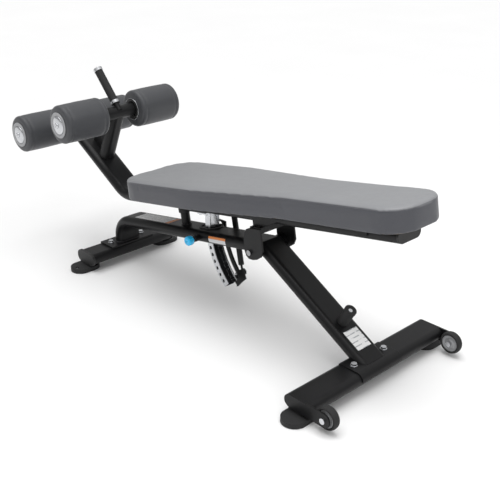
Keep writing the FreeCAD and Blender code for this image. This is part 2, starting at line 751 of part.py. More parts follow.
def strut_bracket():
    tab = box((d.strut_s - 14, d.strut_y - 17, d.strut_n - 12),
              (d.strut_s + 14, d.strut_y - 12, d.rail_n + 6))
    pin = across(d.rod_r, d.strut_s, d.strut_n, d.strut_y - 12, d.strut_y + 7)
    head = across(d.rod_r + 3, d.strut_s, d.strut_n, d.strut_y + 7, d.strut_y + 9)
    sloped_piece("strut_bracket", fuse(cut(tab, rail_side()), pin, head))


def rail_side():
    return oval(d.tube_flat, d.tube_r, (-400, 0, d.rail_n), 300, ALONG_BEAM)


def gas_strut():
    """Cylinder hung from the rail, rod down to the guide plate."""
    ds, dn = d.strut_foot_s - d.strut_s, d.strut_foot_n - d.strut_n
    down = Rotation(Vector(0, 0, 1), Vector(float(ds), 0, float(dn)))
    length = d.strut_length

    def along(amount):
        return (d.strut_s + ds * amount / length, d.strut_y, d.strut_n + dn * amount / length)
    barrel = rod(d.strut_r, along(16), 196, down)
    upper_eye = across(10, d.strut_s, d.strut_n, d.strut_y - 6, d.strut_y + 6)
    neck = rod(5, along(8), 12, down)
    bore = rod(d.rod_r + 0.05, along(40), 180, down)
    upper_hole = across(d.rod_r + 0.05, d.strut_s, d.strut_n, d.strut_y - 7, d.strut_y + 7)
    sloped_piece("strut_cylinder", cut(fuse(barrel, upper_eye, neck), bore, upper_hole))
    shaft = rod(d.rod_r, along(62), length - 62 - 10, down)
    lower_eye = across(11, d.strut_foot_s, d.strut_foot_n, d.strut_y - 6, d.strut_y + 6)
    lower_hole = across(d.rod_r + 3.5, d.strut_foot_s, d.strut_foot_n, d.strut_y - 7, d.strut_y + 7)
    sloped_piece("strut_rod", cut(fuse(shaft, lower_eye), lower_hole))


# ---------------------------------------------------------------- tilting top: rollers and handle

def cross_tube(s, n):
    return cut(across(d.cross_r, s, n, -d.roller_out, d.roller_out),
               across(d.cross_r - d.wall, s, n, -d.roller_out, d.roller_out))


def roller(name, s, n, side):
    low, high = sorted((side * d.roller_in, side * d.roller_out), key=float)
    foam = cut(across(d.roller_r, s, n, low, high), across(d.cross_r + 0.08, s, n, low, high))
    sloped_piece(f"roller_{name}", foam)


def roller_discs():
    """Discs that hold the rollers: flat rings inside, domed caps with bolts outside."""
    rings, caps, bolts = [], [], []
    for s, n in ((d.roller_up_s, d.roller_up_n), (d.roller_low_s, d.roller_low_n)):
        for side in (size(-1), size(1)):
            low, high = sorted((side * (d.roller_in - 0.5), side * (d.roller_in - 2.5)), key=float)
            rings.append(cut(across(40, s, n, low, high), across(d.cross_r, s, n, low, high)))
            low, high = sorted((side * (d.roller_out + 0.5), side * (d.roller_out + 3)), key=float)
            dome_low, dome_high = sorted((side * (d.roller_out + 3), side * (d.roller_out + 6)), key=float)
            caps.append(fuse(across(45, s, n, low, high), across(20, s, n, dome_low, dome_high)))
            low, high = sorted((side * (d.roller_out + 6), side * (d.roller_out + 11)), key=float)
            bolts.append(hexagon(9, (s, low, n), high - low, ALONG_Y))
    sloped_piece("roller_inner_rings", group(*rings))
    sloped_piece("roller_end_discs", group(*caps))
    sloped_piece("roller_end_bolts", group(*bolts))


def upright():
    """Short tube between the tower and the upper roller tube, with a web plate in its corner."""
    foot = (-836, 246)
    reach = Vector(float(d.roller_up_s) - foot[0], 0, float(d.roller_up_n) - foot[1])
    along = Rotation(Vector(0, 1, 0), Vector(), reach, "ZXY")
    start = (foot[0] - reach.x * 0.3, 0, foot[1] - reach.z * 0.3)
    outer_r = d.cross_r - 1
    bar = cut(oval(14, outer_r, start, reach.Length * 1.3, along),
              oval(14, outer_r - d.wall, start, reach.Length * 1.3, along))
    web = sheet_metal([(size(-905), size(300)), (size(-860), size(350)), (size(-788), size(350)),
                       (size(-853), size(258))], -4, 8)
    top_tube = across(d.cross_r, d.roller_up_s, d.roller_up_n, -60, 60)
    tower_face = tower_point(d.tower_s) + d.tube_r / cosine(d.tower_angle)
    below = put(group(box((size(-500), size(-60), size(-300)), (size(300), size(60), size(0)))),
                (d.tower_s, 0, tower_face), Rotation(Vector(0, 1, 0), float(d.tower_angle)))
    beyond = box((size(-900), size(-60), d.roller_up_n + 5), (size(-500), size(60), d.roller_up_n + 200))
    sloped_piece("roller_upright", cut(fuse(bar, web), top_tube, below, beyond))


def handle():
    collar, cap = Vector(-721, 0, 447), Vector(-798, 0, 567)
    run = cap - collar
    upward = Rotation(Vector(0, 0, 1), run)
    run.normalize()

    def piece(radius, start, length):
        point = collar + run * start
        return rod(radius, (point.x, 0, point.z), length, upward)
    core = cut(piece(11, -36, 170), across(d.cross_r, d.roller_up_s, d.roller_up_n, -40, 40))
    sloped_piece("handle_rod", core)
    grip = cut(piece(15, 5, 127), piece(11, 5, 127))
    sloped_piece("handle_grip", grip)
    collar_ring = cut(piece(16.5, -6, 11), piece(11, -6, 11))
    end_cap = cut(piece(17, 132, 12), piece(11, 132, 2))
    sloped_piece("grip_ends", group(collar_ring, end_cap))


# ---------------------------------------------------------------- tilting top: pad

def pad_outline(body, inset):
    """Wide at the foot end, slim at the head end."""
    wide, slim = d.pad_wide - inset, d.pad_slim - inset
    foot, head = d.pad_foot + inset, d.pad_head - inset
    sketch = sketch_on(body, "XY_Plane", d.pad_bottom)
    polygon(sketch, [(foot, -wide), (d.waist_foot, -wide), (d.waist_head, -slim), (head, -slim),
                     (head, slim), (d.waist_head, slim), (d.waist_foot, wide), (foot, wide)])
    return sketch


def pad_block(inset, height):
    """Pad-shaped block with rounded corners."""
    body = doc.addObject("PartDesign::Body", "PadBlock")
    block = body.newObject("PartDesign::Pad", "Block")
    block.Profile = pad_outline(body, inset)
    bind(block, Length=height)
    doc.recompute()
    corners = (((d.pad_foot + inset,), d.pad_corner_foot - inset),
               ((d.pad_head - inset,), d.pad_corner_head - inset),
               ((d.waist_foot, d.waist_head), d.waist_corner))
    for reaches, radius in corners:
        upright_edges = []
        for index, edge in enumerate(body.Tip.Shape.Edges, start=1):
            ends = [vertex.Point for vertex in edge.Vertexes]
            is_upright = len(ends) == 2 and abs(ends[0].z - ends[1].z) > float(height) - 0.01
            if is_upright and min(abs(ends[0].x - float(reach)) for reach in reaches) < 1:
                upright_edges.append(f"Edge{index}")
        rounded = body.Tip
        corner = body.newObject("PartDesign::Fillet", "Corner")
        corner.Base = (rounded, upright_edges)
        bind(corner, Radius=radius)
        doc.recompute()
    return body


def pad():
    board = pad_block(d.board_inset, d.board_t)
    cushion = cut(pad_block(size(0), d.pad_top - d.pad_bottom), pad_block(d.board_inset, d.board_t))
    sloped_piece("pad_board", board)
    sloped_piece("pad_cushion", cushion)


def pad_mounts():
    """Cross plates on the rail that carry the pad, with their gussets and screws."""
    rail_top = d.rail_n + d.tube_r
    plates, gussets, screws = [], [], []
    for s in (-450, 420):
        half = 105 if s < 0 else 80
        plates.append(box((size(s), size(-half), rail_top), (size(s + 50), size(half), d.pad_bottom)))
        for side in (size(-1), size(1)):
            low = sorted((side * 51, side * 55), key=float)[0]
            gussets.append(sheet_metal([(size(s + 2), rail_top), (size(s + 48), rail_top),
                                        (size(s + 40), d.rail_n - 6), (size(s + 10), d.rail_n - 6)], low, 4))
            screws.append(hexagon(7, (s + 25, side * (half - 14), rail_top - 4), 4))
    sloped_piece("pad_mounts", group(*plates, *gussets))
    sloped_piece("pad_screws", group(*screws))


# ---------------------------------------------------------------- the whole bench

d.arc_slot_from = d.slot_s - 15.5
d.arc_slot_to = d.slot_s + 16
front_bolt = (d.front_x - 5, size(70))
rear_bolt = (d.rear_x - 1, size(68))
front_screw_y = size(225)

stabilizer("front_stabilizer", d.front_x, d.front_half, *front_bolt)
stabilizer("rear_stabilizer", d.rear_x, d.rear_half, *rear_bolt)
front_caps()
feet("front_feet", d.front_foot_x, d.front_foot_y, d.front_half - 26, front_screw_y)
feet("rear_feet", d.rear_foot_x, d.rear_foot_y, d.rear_half - 1, None)
front_foot_screws(d.front_foot_x, front_screw_y)
flange_plate(*front_bolt)
saddle(*rear_bolt)
floor_piece("frame_bolts", group(*top_bolts(*front_bolt, d.flange_top),
                                 *top_bolts(*rear_bolt, d.stab_z + d.tube_r + 4)))
rear_end_plates()
wheel_bolts()
wheel("near", size(-1))
wheel("far", size(1))
main_beam()
rear_leg()
bumper()
hub()
stop_post()
slot_grommet()
pin_housing()
spring()
guide_plate()
strut_lower_pin()
labels()
pop_pin()
top_rail()
pivot_frame()
hub_spindle()
selector_arc()
guide_pin()
strut_bracket()
gas_strut()
sloped_piece("cross_tubes", group(cross_tube(d.roller_up_s, d.roller_up_n),
                                  cross_tube(d.roller_low_s, d.roller_low_n)))
for level, s_axis, n_axis in (("up", d.roller_up_s, d.roller_up_n), ("low", d.roller_low_s, d.roller_low_n)):
    roller(f"{level}_near", s_axis, n_axis, size(-1))
    roller(f"{level}_far", s_axis, n_axis, size(1))
roller_discs()
upright()
handle()
pad()
pad_mounts()
doc.recompute()


# ---------------------------------------------------------------- checks and export

for feature in doc.Objects:
    for trouble in ("Invalid", "Error"):
        if trouble in feature.State:
            raise RuntimeError(f"{feature.Label} is {trouble}")

for node in nodes:
    shape = node.Shape
    if shape.isNull() or not shape.isValid() or not shape.Solids:
        raise RuntimeError(f"{node.Label} has no valid shape")
    shape.exportStep(f"parts/{node.Label}.step")
    print(node.Label, len(shape.Solids), round(shape.Volume))
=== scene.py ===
import json
import math

import bmesh
import bpy
from mathutils import Matrix, Vector, noise


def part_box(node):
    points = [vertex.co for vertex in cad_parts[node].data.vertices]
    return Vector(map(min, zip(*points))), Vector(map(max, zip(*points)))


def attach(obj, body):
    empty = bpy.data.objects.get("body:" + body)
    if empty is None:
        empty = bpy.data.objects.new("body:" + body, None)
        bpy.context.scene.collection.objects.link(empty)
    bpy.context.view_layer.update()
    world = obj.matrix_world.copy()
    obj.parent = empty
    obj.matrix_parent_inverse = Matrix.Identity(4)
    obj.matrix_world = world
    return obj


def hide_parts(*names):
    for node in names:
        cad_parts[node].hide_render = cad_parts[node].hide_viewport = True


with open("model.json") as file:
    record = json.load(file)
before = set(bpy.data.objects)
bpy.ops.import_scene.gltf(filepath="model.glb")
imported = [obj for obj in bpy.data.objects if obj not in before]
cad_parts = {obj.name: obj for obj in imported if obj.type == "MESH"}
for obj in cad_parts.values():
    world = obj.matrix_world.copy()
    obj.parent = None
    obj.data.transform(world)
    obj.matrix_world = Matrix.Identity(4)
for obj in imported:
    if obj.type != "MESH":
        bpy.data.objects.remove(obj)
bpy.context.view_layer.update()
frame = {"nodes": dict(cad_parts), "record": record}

MM = 0.001
LEVELS = ("up", "low")
SIDES = {"near": -1, "far": 1}
NODES = frame["nodes"]
JOINTS = {joint["name"]: joint for joint in frame["record"]["behaviour"]["joints"]}
HUB = Vector(JOINTS["tilt"]["pos_m"])
SLOPE = math.radians(10.2)

# ---------------------------------------------------------------- frames and small helpers

TO_WORLD = Matrix.Translation(HUB) @ Matrix.Rotation(-SLOPE, 4, "Y")
TO_LOCAL = TO_WORLD.inverted()


def sloped(s, y, n):
    """Point given along the sloping frame, in millimetres from the hub axis."""
    return TO_WORLD @ Vector((s * MM, y * MM, n * MM))


def level(x, y, z):
    """Point given level: x and y from the hub, z from the floor, in millimetres."""
    return Vector((HUB.x + x * MM, y * MM, z * MM))


def add_mesh(name, bm, material, smooth=True):
    """Object made from a bmesh, with one material."""
    mesh = bpy.data.meshes.new(name)
    bm.to_mesh(mesh)
    bm.free()
    if smooth:
        for face in mesh.polygons:
            face.use_smooth = True
    mesh.materials.append(material)
    piece = bpy.data.objects.new(name, mesh)
    bpy.context.collection.objects.link(piece)
    return piece


def frame_from_axis(centre, axis):
    """Matrix whose local Z runs along the axis."""
    turn = Vector((0, 0, 1)).rotation_difference(Vector(axis).normalized())
    return Matrix.Translation(centre) @ turn.to_matrix().to_4x4()


def lathe(name, profile, centre, axis, material, segments=96, ripple=None):
    """Closed turned piece; the profile lists (radius, height) in millimetres."""
    bm = bmesh.new()
    place = frame_from_axis(centre, axis)
    rings = []
    for radius, height in profile:
        ring = []
        for index in range(segments):
            angle = 2 * math.pi * index / segments
            r = radius + (ripple(angle, height) if ripple else 0)
            ring.append(bm.verts.new(place @ Vector((r * math.cos(angle) * MM, r * math.sin(angle) * MM,
                                                     height * MM))))
        rings.append(ring)
    for lower, upper in zip(rings, rings[1:] + rings[:1]):
        for index in range(segments):
            after = (index + 1) % segments
            bm.faces.new((lower[index], lower[after], upper[after], upper[index]))
    bmesh.ops.recalc_face_normals(bm, faces=bm.faces)
    return add_mesh(name, bm, material)


def tube_along(name, points, radius, material, closed=False):
    """Thin round bead along a path, as a mesh."""
    curve = bpy.data.curves.new(name, "CURVE")
    curve.dimensions = "3D"
    curve.bevel_depth = radius * MM
    curve.bevel_resolution = 3
    spline = curve.splines.new("POLY")
    spline.points.add(len(points) - 1)
    for point, target in zip(spline.points, points):
        point.co = (*target, 1)
    spline.use_cyclic_u = closed
    holder = bpy.data.objects.new(name + "_path", curve)
    bpy.context.collection.objects.link(holder)
    depsgraph = bpy.context.evaluated_depsgraph_get()
    mesh = bpy.data.meshes.new_from_object(holder.evaluated_get(depsgraph))
    bpy.data.objects.remove(holder)
    mesh.name = name
    mesh.materials.clear()
    mesh.materials.append(material)
    for face in mesh.polygons:
        face.use_smooth = True
    piece = bpy.data.objects.new(name, mesh)
    bpy.context.collection.objects.link(piece)
    return piece


def bake_modifiers(piece):
    """Apply every modifier of a piece."""
    depsgraph = bpy.context.evaluated_depsgraph_get()
    mesh = bpy.data.meshes.new_from_object(piece.evaluated_get(depsgraph))
    old = piece.data
    piece.modifiers.clear()
    piece.data = mesh
    bpy.data.meshes.remove(old)


# ---------------------------------------------------------------- materials

class Graph:
    """Node graph of one material, with short calls for the nodes used here."""

    def __init__(self, name):
        self.material = bpy.data.materials.new(name)
        self.material.use_nodes = True
        self.tree = self.material.node_tree
        self.shader = self.tree.nodes["Principled BSDF"]
        self.place = self.node("ShaderNodeTexCoord").outputs["Object"]

    def node(self, kind, **values):
        """New node with some of its properties set."""
        made = self.tree.nodes.new(kind)
        for key, value in values.items():
            setattr(made, key, value)
        return made

    def feed(self, source, target):
        self.tree.links.new(source, target)

    def noise(self, scale, detail=3.0, rough=0.55, stretch=None):
        """Cloudy value; a stretch scales the pattern along each axis."""
        texture = self.node("ShaderNodeTexNoise")
        texture.inputs["Scale"].default_value = scale
        texture.inputs["Detail"].default_value = detail
        texture.inputs["Roughness"].default_value = rough
        source = self.place
        if stretch:
            mapping = self.node("ShaderNodeMapping")
            mapping.inputs["Scale"].default_value = stretch
            self.feed(self.place, mapping.inputs["Vector"])
            source = mapping.outputs["Vector"]
        self.feed(source, texture.inputs["Vector"])
        return texture.outputs["Fac"]

    def cells(self, scale):
        """Pebbled value, like the grain of a cover."""
        texture = self.node("ShaderNodeTexVoronoi")
        texture.inputs["Scale"].default_value = scale
        self.feed(self.place, texture.inputs["Vector"])
        return texture.outputs["Distance"]

    def span(self, factor, low, high, start=0.0, end=1.0):
        """Rescale a value."""
        made = self.node("ShaderNodeMapRange")
        made.inputs["From Min"].default_value = start
        made.inputs["From Max"].default_value = end
        made.inputs["To Min"].default_value = low
        made.inputs["To Max"].default_value = high
        self.feed(factor, made.inputs["Value"])
        return made.outputs["Result"]

    def blend(self, factor, low, high):
        """Mix two colours, or a colour and an output."""
        mix = self.node("ShaderNodeMix", data_type="RGBA")
        self.feed(factor, mix.inputs["Factor"])
        for socket, value in ((mix.inputs[6], low), (mix.inputs[7], high)):
            if isinstance(value, tuple):
                socket.default_value = (*value, 1)
            else:
                self.feed(value, socket)
        return mix.outputs[2]

    def part_of(self, source, index, low, high):
        """1 where one coordinate lies between two values, 0 elsewhere."""
        parts = self.node("ShaderNodeSeparateXYZ")
        self.feed(source, parts.inputs["Vector"])
        inside = self.node("ShaderNodeMath", operation="COMPARE")
        self.feed(parts.outputs[index], inside.inputs[0])
        inside.inputs[1].default_value = (low + high) / 2
        inside.inputs[2].default_value = (high - low) / 2
        return inside.outputs[0]

    def relief(self, heights, edge_round=0.0):
        """Bump from (height, strength, distance in metres) layers."""
        last = None
        if edge_round:
            rounded = self.node("ShaderNodeBevel", samples=4)
            rounded.inputs["Radius"].default_value = edge_round
            last = rounded.outputs["Normal"]
        for height, strength, distance in heights:
            bump = self.node("ShaderNodeBump")
            bump.inputs["Strength"].default_value = strength
            bump.inputs["Distance"].default_value = distance
            self.feed(height, bump.inputs["Height"])
            if last:
                self.feed(last, bump.inputs["Normal"])
            last = bump.outputs["Normal"]
        self.feed(last, self.shader.inputs["Normal"])

    def finish(self, colour, rough, **fixed):
        """Wire colour and roughness to the shader, set its fixed values and hand out the material."""
        self.feed(colour, self.shader.inputs["Base Color"])
        if isinstance(rough, float):
            self.shader.inputs["Roughness"].default_value = rough
        else:
            self.feed(rough, self.shader.inputs["Roughness"])
        for name, value in fixed.items():
            self.shader.inputs[name.replace("_", " ")].default_value = value
        return self.material


PLATE_DARK = (0.5, 0.51, 0.53)
PLATE_LIGHT = (0.72, 0.73, 0.75)
# Object-space y and z spans of the painted shade inside the selector channel.
CHANNEL_SHADE_Y = (-0.0049, 0.0299)
CHANNEL_SHADE_Z = (0.0, 0.25)
LABEL_RULE_EVERY = 0.006
LABEL_HEAD_END_X = HUB.x - 0.467
LABEL_BAND = 0.02


def powder_coat():
    """Satin black powder coat with a fine orange peel."""
    g = Graph("powder_coat")
    clouds = g.noise(9, 4)
    colour = g.blend(clouds, (0.006, 0.006, 0.0065), (0.011, 0.011, 0.0118))
    rough = g.span(g.noise(35, 4), 0.3, 0.44)
    g.relief([(g.noise(1400, 2), 0.10, 0.0002), (g.noise(260, 2), 0.06, 0.0004)], 0.0011)
    return g.finish(colour, rough, Specular_IOR_Level=0.22, Coat_Weight=0.03, Coat_Roughness=0.2)


def weld_metal():
    """Painted weld bead, rougher than the coat round it."""
    g = Graph("painted_weld")
    colour = g.blend(g.noise(120, 3), (0.008, 0.008, 0.009), (0.018, 0.018, 0.02))
    g.relief([(g.noise(420, 2), 0.6, 0.0006)])
    return g.finish(colour, 0.42)


def moulded_plastic(name, dark, light, rough_low=0.42, rough_high=0.58):
    """Moulded plastic or smooth film, mottled between two near shades."""
    g = Graph(name)
    colour = g.blend(g.noise(25, 4), dark, light)
    g.relief([(g.noise(1700, 2), 0.18, 0.0002)], 0.0008)
    return g.finish(colour, g.span(g.noise(60, 3), rough_low, rough_high))


def rubber():
    """Matt black rubber."""
    g = Graph("rubber")
    colour = g.blend(g.noise(18, 5), (0.012, 0.012, 0.0125), (0.024, 0.024, 0.0245))
    g.relief([(g.noise(900, 3), 0.3, 0.0003)], 0.0015)
    return g.finish(colour, g.span(g.noise(50, 3), 0.62, 0.8), Specular_IOR_Level=0.4)


def bright_steel(name="bright_steel", dark=PLATE_DARK, light=PLATE_LIGHT):
    """Zinc or chrome plate with faint brushing."""
    g = Graph(name)
    brushed = g.noise(900, 3, 0.6, (1, 1, 0.05))
    colour = g.blend(g.noise(45, 4), dark, light)
    g.relief([(brushed, 0.08, 0.0001)], 0.0006)
    return g.finish(colour, g.span(g.noise(80, 4), 0.14, 0.32), Metallic=1.0)


def selector_plate_painted_shade():
    """Bright plated channel with painted shade: its inside, and so every hole in it, is painted near black
    below the beam.
    """
    g = Graph("selector_plate_painted_shade")
    colour = g.blend(g.noise(45, 4), PLATE_DARK, PLATE_LIGHT)
    between = g.node("ShaderNodeMath", operation="MULTIPLY")
    g.feed(g.part_of(g.place, 1, *CHANNEL_SHADE_Y), between.inputs[0])
    g.feed(g.part_of(g.place, 2, *CHANNEL_SHADE_Z), between.inputs[1])
    # Painted shade: near-black colour inside the channel, where shade falls below the beam.
    colour = g.blend(between.outputs[0], colour, (0.012, 0.012, 0.013))
    g.relief([(g.noise(900, 3, 0.6, (1, 0.05, 1)), 0.08, 0.0001)], 0.0004)
    return g.finish(colour, g.span(g.noise(80, 4), 0.16, 0.34), Metallic=1.0)


def vinyl(name, dark, light, grain=520, side=None):
    """Grained cover; a darker side colour, when given, is painted shade wherever the surface doesn't face
    up.
    """
    g = Graph(name)
    colour = g.blend(g.noise(6, 5), dark, light)
    if side:
        parts = g.node("ShaderNodeSeparateXYZ")
        g.feed(g.node("ShaderNodeTexCoord").outputs["Normal"], parts.inputs["Vector"])
        # Painted shade: faces that don't face up take the darker side colour.
        colour = g.blend(g.span(parts.outputs["Z"], 1.0, 0.0, 0.25, 0.6), colour, side)
    pores = g.cells(grain)
    colour = g.blend(g.span(pores, 0.25, 0.0, 0.0, 0.5), colour, tuple(v * 0.62 for v in dark))
    g.relief([(pores, 0.16, 0.0004), (g.noise(90, 4), 0.10, 0.0009), (g.noise(1500, 2), 0.08, 0.0002)])
    rough = g.span(g.noise(40, 4), 0.43, 0.56)
    return g.finish(colour, rough, Sheen_Weight=0.15, Sheen_Roughness=0.4)


def blue_plastic():
    """Glossy blue plastic of the knob."""
    g = Graph("blue_plastic")
    colour = g.blend(g.noise(60, 3), (0.012, 0.46, 0.86), (0.02, 0.56, 0.98))
    g.relief([(g.noise(1300, 2), 0.08, 0.0002)], 0.0008)
    return g.finish(colour, g.span(g.noise(90, 2), 0.22, 0.34), Coat_Weight=0.4, Coat_Roughness=0.1)


def label_film():
    """Printed film: pale ground, plain grey rules that stand for print, an orange band at the head end."""
    g = Graph("label_film")
    parts = g.node("ShaderNodeSeparateXYZ")
    g.feed(g.place, parts.inputs["Vector"])
    along = parts.outputs["X"]
    rules = g.node("ShaderNodeMath", operation="PINGPONG")
    g.feed(along, rules.inputs[0])
    rules.inputs[1].default_value = LABEL_RULE_EVERY
    rule = g.span(rules.outputs[0], 1.0, 0.0, LABEL_RULE_EVERY * 0.18, LABEL_RULE_EVERY * 0.34)
    broken = g.span(g.noise(90, 2), 0.0, 1.0, 0.42, 0.5)
    both = g.node("ShaderNodeMath", operation="MULTIPLY")
    g.feed(rule, both.inputs[0])
    g.feed(broken, both.inputs[1])
    colour = g.blend(both.outputs[0], (0.88, 0.88, 0.88), (0.45, 0.46, 0.48))
    band = g.part_of(g.place, 0, LABEL_HEAD_END_X - LABEL_BAND, LABEL_HEAD_END_X)
    colour = g.blend(band, colour, (0.80, 0.22, 0.03))
    g.relief([(g.noise(700, 2), 0.05, 0.0001)])
    return g.finish(colour, g.span(g.noise(50, 2), 0.3, 0.4))


def plywood():
    """Plain plywood with its grain along the bench."""
    g = Graph("plywood")
    rings = g.noise(14, 6, 0.6, (1, 9, 9))
    colour = g.blend(rings, (0.24, 0.15, 0.08), (0.42, 0.29, 0.17))
    g.relief([(rings, 0.2, 0.0004)])
    return g.finish(colour, g.span(rings, 0.55, 0.75))


def floor_paint():
    """Pale studio floor."""
    g = Graph("studio_floor")
    colour = g.blend(g.noise(1.5, 3), (0.86, 0.86, 0.86), (0.9, 0.9, 0.9))
    return g.finish(colour, 0.75, Specular_IOR_Level=0.25)


COAT = powder_coat()
WELD = weld_metal()
BLACK_PLASTIC = moulded_plastic("black_plastic", (0.009, 0.009, 0.0095), (0.016, 0.016, 0.0165))
GREY_PLASTIC = moulded_plastic("grey_plastic", (0.30, 0.305, 0.315), (0.38, 0.385, 0.395), 0.3, 0.42)
NYLON = moulded_plastic("nylon", (0.45, 0.43, 0.38), (0.55, 0.53, 0.47))
RUBBER = rubber()
STEEL = bright_steel()
DULL_STEEL = bright_steel("dull_steel", (0.26, 0.262, 0.27), (0.36, 0.362, 0.37))
SELECTOR = selector_plate_painted_shade()
# The last colour is painted shade on the pad's sides.
PAD_VINYL = vinyl("pad_vinyl", (0.2, 0.204, 0.213), (0.24, 0.244, 0.254), 520, (0.066, 0.068, 0.079))
ROLLER_VINYL = vinyl("roller_vinyl", (0.042, 0.044, 0.049), (0.056, 0.058, 0.064))
# Painted shade: the welt is coloured dark like the pad's shaded sides.
WELT = vinyl("seam_welt", (0.085, 0.088, 0.1), (0.1, 0.103, 0.115), 900)
BLUE = blue_plastic()
LABEL = label_film()
DECAL_WHITE = moulded_plastic("decal_white", (0.62, 0.62, 0.63), (0.72, 0.72, 0.73), 0.3, 0.4)
DECAL_ORANGE = moulded_plastic("decal_orange", (0.72, 0.22, 0.05), (0.82, 0.27, 0.07), 0.3, 0.4)
PLYWOOD = plywood()

FINISH_OF_SLOT = {
    "frame_paint": COAT, "black_plastic": BLACK_PLASTIC, "grey_plastic": GREY_PLASTIC, "nylon": NYLON,
    "rubber": RUBBER, "tyre": RUBBER, "bright_steel": STEEL, "strut_black": COAT, "blue_knob": BLUE,
    "label_print": LABEL, "vinyl": PAD_VINYL, "plywood": PLYWOOD, "foam": ROLLER_VINYL,
}


def paint(node, material):
    """Give a CAD node one material in all its slots."""
    for material_slot in NODES[node].material_slots:
        material_slot.material = material


for part in frame["record"]["subparts"]:
    paint(part["node"], FINISH_OF_SLOT[part["material_slot"]])
paint("selector_arc", SELECTOR)
paint("hub_end_bolts", DULL_STEEL)


# ---------------------------------------------------------------- pad

def local_corners(node):
    """Corners of a CAD node in the sloping frame, in metres."""
    points = [TO_LOCAL @ vertex.co for vertex in NODES[node].data.vertices]
    low = Vector(tuple(min(p[i] for p in points) for i in range(3)))
    high = Vector(tuple(max(p[i] for p in points) for i in range(3)))
    return low, high


PAD_LOW, PAD_HIGH = local_corners("pad_cushion")
PAD_MESH_SIZE = 0.006
PAD_PRESSURE = 1.5
PAD_SWELL = 0.0016
CLOTH_FRAMES = 20
WELT_RADIUS = 0.6
WELT_DROP = 0.0085


def pad_top_face():
    """Top face of the CAD cushion, in the sloping frame."""
    bm = bmesh.new()
    bm.from_mesh(NODES["pad_cushion"].data)
    bm.transform(TO_LOCAL)
    bmesh.ops.remove_doubles(bm, verts=bm.verts, dist=1e-5)
    below = [vertex for vertex in bm.verts if vertex.co.z < PAD_HIGH.z - 1e-4]
    bmesh.ops.delete(bm, geom=below, context="VERTS")
    return bm


def pad_shell():
    """Closed shell of the cushion: its top face drawn down to its underside."""
    bm = pad_top_face()
    made = bmesh.ops.extrude_face_region(bm, geom=list(bm.faces))
    lowered = [item for item in made["geom"] if isinstance(item, bmesh.types.BMVert)]
    bmesh.ops.translate(bm, verts=lowered, vec=(0, 0, PAD_LOW.z - PAD_HIGH.z))
    bmesh.ops.recalc_face_normals(bm, faces=bm.faces)
    return bm


def outline_loop():
    """Outline of the pad's top face as an ordered list of (s, y), in metres."""
    bm = pad_top_face()
    rim = {edge for edge in bm.edges if edge.is_boundary}
    current = min((edge.verts[0] for edge in rim), key=lambda v: (round(v.co.x, 5), v.co.y))
    loop, last_edge = [], None
    while True:
        loop.append((current.co.x, current.co.y))
        edge = next(e for e in current.link_edges if e in rim and e is not last_edge)
        current, last_edge = edge.other_vert(current), edge
        if (current.co.x, current.co.y) == loop[0]:
            break
    bm.free()
    return loop


def resample(loop, spacing):
    """Evenly spaced points round a closed outline."""
    points = []
    carry = 0.0
    for start, end in zip(loop, loop[1:] + loop[:1]):
        length = math.dist(start, end)
        travelled = carry
        while travelled < length:
            t = travelled / length
            points.append((start[0] + (end[0] - start[0]) * t, start[1] + (end[1] - start[1]) * t))
            travelled += spacing
        carry = travelled - length
    return points


def simulate(piece, pressure, cap):
    """Inflate a closed cushion a little with cloth, never moving a point further than the cap."""
    rest = [vertex.co.copy() for vertex in piece.data.vertices]
    cloth = piece.modifiers.new("Cloth", "CLOTH")
    cloth.settings.quality = 4
    cloth.settings.mass = 0.4
    cloth.settings.tension_stiffness = 25
    cloth.settings.compression_stiffness = 25
    cloth.settings.shear_stiffness = 12
    cloth.settings.bending_stiffness = 2.0
    cloth.settings.use_pressure = True
    cloth.settings.uniform_pressure_force = pressure
    cloth.settings.effector_weights.gravity = 0
    cloth.collision_settings.use_collision = False
    pinned = piece.vertex_groups.new(name="held")
    pinned.add([v.index for v in piece.data.vertices if v.co.z < PAD_LOW.z + 0.004], 1.0, "REPLACE")
    cloth.settings.vertex_group_mass = "held"
    cloth.point_cache.frame_start = 1
    cloth.point_cache.frame_end = CLOTH_FRAMES
    scene = bpy.context.scene
    for step in range(1, CLOTH_FRAMES + 1):
        scene.frame_set(step)
    bake_modifiers(piece)
    scene.frame_set(1)
    for vertex, start in zip(piece.data.vertices, rest):
        move = vertex.co - start
        if move.length > cap:
            vertex.co = start + move.normalized() * cap


def make_pad():
    shell = add_mesh("pad_cover", pad_shell(), PAD_VINYL)
    remesh = shell.modifiers.new("Even", "REMESH")
    remesh.mode = "VOXEL"
    remesh.voxel_size = PAD_MESH_SIZE
    soften = shell.modifiers.new("Soften", "SMOOTH")
    soften.factor = 0.5
    soften.iterations = 5
    bake_modifiers(shell)
    simulate(shell, PAD_PRESSURE, PAD_SWELL)
    crown(shell)
    finer = shell.modifiers.new("Finer", "SUBSURF")
    finer.levels = finer.render_levels = 1
    bake_modifiers(shell)
    shell.data.transform(TO_WORLD)
    shell.data.materials.clear()
    shell.data.materials.append(PAD_VINYL)
    for face in shell.data.polygons:
        face.use_smooth = True
    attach(shell, "bench_top")
    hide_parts("pad_cushion")
    return shell


def crown(piece):
    """Faint unevenness of the foam in the top and a slight waist in the long sides."""
    middle = (PAD_LOW.z + PAD_HIGH.z) / 2
    depth = (PAD_HIGH.z - PAD_LOW.z) / 2
    for vertex in piece.data.vertices:
        co = vertex.co
        level_in_pad = (co.z - middle) / depth
        uneven = noise.noise(co * 6) * 0.0005
        if level_in_pad > 0.5:
            co.z += uneven
        waist = 0.0007 * max(0.0, 1 - level_in_pad * level_in_pad)
        co.y -= waist * co.y / PAD_HIGH.y


